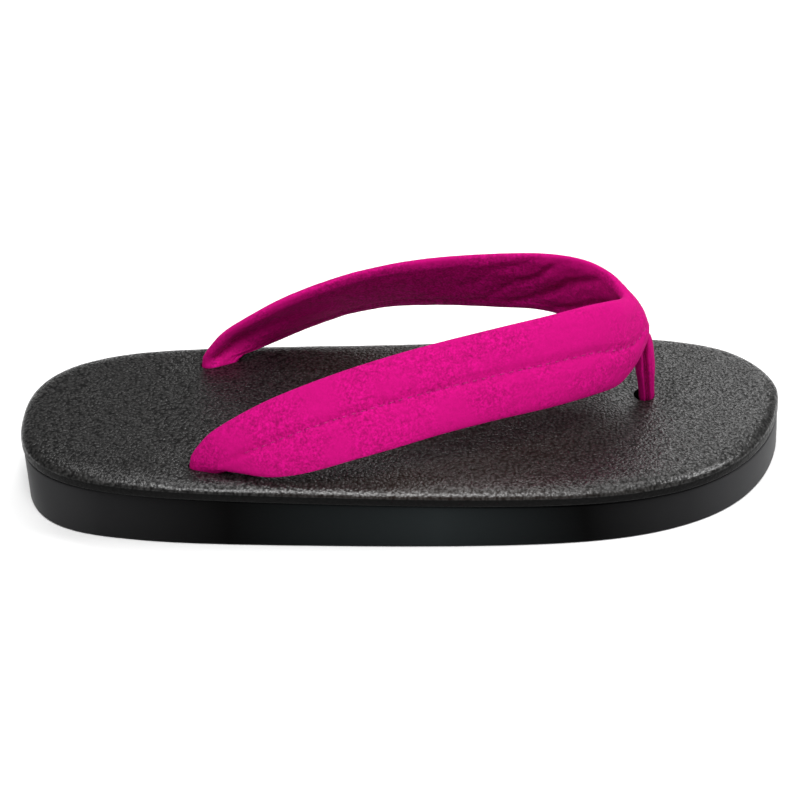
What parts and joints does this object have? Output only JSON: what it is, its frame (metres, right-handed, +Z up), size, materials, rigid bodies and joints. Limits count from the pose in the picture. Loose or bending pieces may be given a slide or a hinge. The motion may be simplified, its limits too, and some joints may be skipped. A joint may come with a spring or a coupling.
{
  "type": "flat thong sandal",
  "caption": "Flat thong sandal for the right foot with a wedge sole, a grained footbed, a padded velvet V strap and a toe post.",
  "frame": {"origin": "on the floor, under the middle of the sandal's whole length and width", "axes": "+X from the heel to the toe, +Y to the inner (medial) side of the foot, +Z up"},
  "size_m": [0.25, 0.099, 0.0644],
  "materials": {
    "sole_foam": "smooth black foam rubber, satin",
    "footbed_cover": "fine pebbled grain, half matt",
    "strap_velvet": "short cut pile, matt with sheen"
  },
  "bodies": {
    "root": {"outsole": "sole_foam", "footbed": "footbed_cover", "strap": "strap_velvet", "toe_post": "strap_velvet"}
  },
  "joints": []
}
